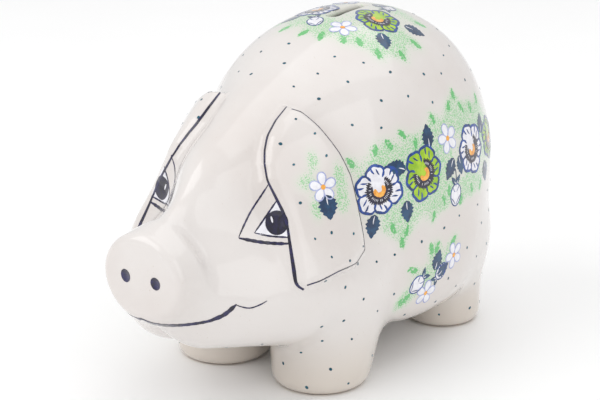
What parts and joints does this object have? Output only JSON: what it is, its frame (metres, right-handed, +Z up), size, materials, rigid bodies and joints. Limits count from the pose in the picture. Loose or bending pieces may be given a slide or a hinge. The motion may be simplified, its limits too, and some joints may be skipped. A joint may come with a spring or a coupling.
{
  "type": "piggy bank",
  "caption": "Hollow glazed ceramic pig with a coin slot in its back, four short legs, lop ears and a rubber stopper in its belly.",
  "frame": {"origin": "middle of the footprint of the whole pig, on the ground under its feet", "axes": "-Y is the way the snout points, +X is the pig's left side, +Z is up"},
  "size_m": [0.14, 0.259, 0.1809],
  "materials": {
    "glazed_clay": "glossy transparent glaze over cream clay, with underglaze painting",
    "stopper_rubber": "matte"
  },
  "bodies": {
    "pig": {"torso_shell": "glazed_clay", "head_shell": "glazed_clay", "snout_disc": "glazed_clay", "front_left_leg": "glazed_clay", "front_right_leg": "glazed_clay", "rear_left_leg": "glazed_clay", "rear_right_leg": "glazed_clay", "left_ear": "glazed_clay", "right_ear": "glazed_clay", "tail": "glazed_clay"},
    "stopper": {"stopper": "stopper_rubber"}
  },
  "joints": [
    {"name": "stopper_pull", "type": "slide", "parent": "pig", "child": "stopper", "axis": [0, 0, -1], "range_m": [0, 0.012]}
  ]
}
